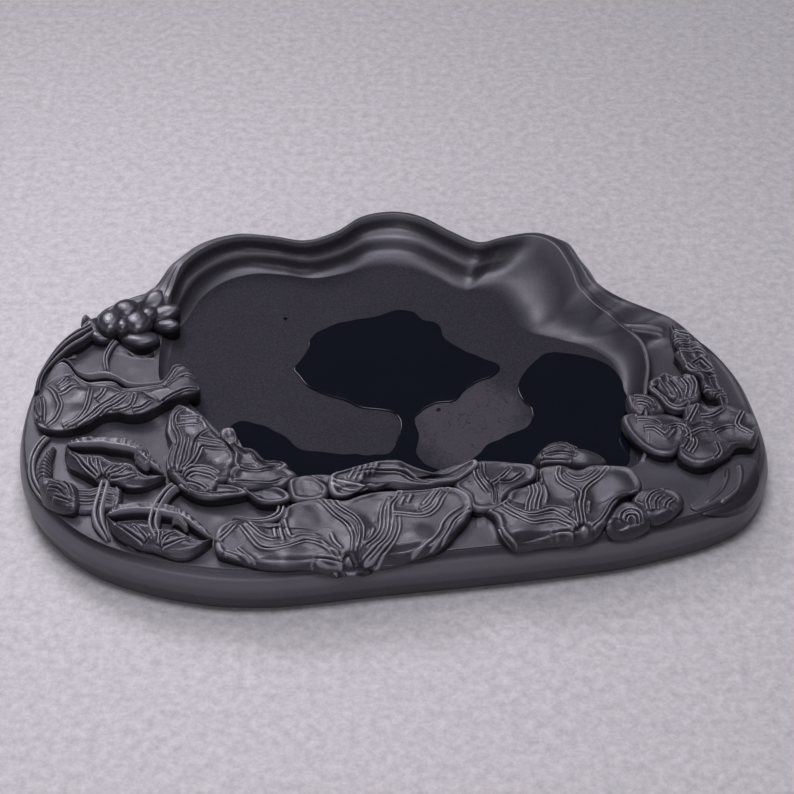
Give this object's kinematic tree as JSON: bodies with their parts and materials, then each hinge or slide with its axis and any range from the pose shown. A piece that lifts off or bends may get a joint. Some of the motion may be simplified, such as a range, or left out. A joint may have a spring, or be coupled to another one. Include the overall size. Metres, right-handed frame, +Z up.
{
  "type": "carved ink stone",
  "caption": "Dark stone slab with a scalloped rim and a shallow ink basin, bordered by a lotus pond in relief, for grinding and holding ink.",
  "frame": {"origin": "middle of the overall box at the flat underside", "axes": "+X to the right along the long side, +Y towards the scalloped back rim, +Z up out of the basin"},
  "size_m": [0.257, 0.176, 0.028],
  "materials": {
    "stone_body": "fine grained black stone, honed to a soft satin, with slightly worn edges",
    "stone_carving": "the same stone, cut with fine gouges and polished on the high edges",
    "stone_petals": "the same stone, polished smooth",
    "ink_film": "wet black ink, mirror smooth"
  },
  "bodies": {
    "root": {"stone_block": "stone_body", "ink_pool": "ink_film", "lotus_outer_petals": "stone_petals", "lotus_inner_petals": "stone_petals", "lotus_stem": "stone_carving", "rim_leaf": "stone_carving", "furled_leaf": "stone_carving", "furled_leaf_stem": "stone_carving", "upper_pod": "stone_carving", "upper_pod_stem": "stone_carving", "fluted_leaf": "stone_carving", "lower_pod": "stone_carving", "lower_pod_stem": "stone_carving", "fan_leaf": "stone_carving", "fan_leaf_lobes": "stone_carving", "curled_tendril": "stone_carving", "front_leaf_left": "stone_carving", "front_leaf_fold": "stone_carving", "front_leaf_middle": "stone_carving", "front_leaf_right": "stone_carving", "front_leaf_end": "stone_carving", "basin_leaf": "stone_carving", "narrow_leaf": "stone_carving", "lotus_bud": "stone_carving", "side_leaf_upper": "stone_carving", "side_leaf_lower": "stone_carving"}
  },
  "joints": []
}
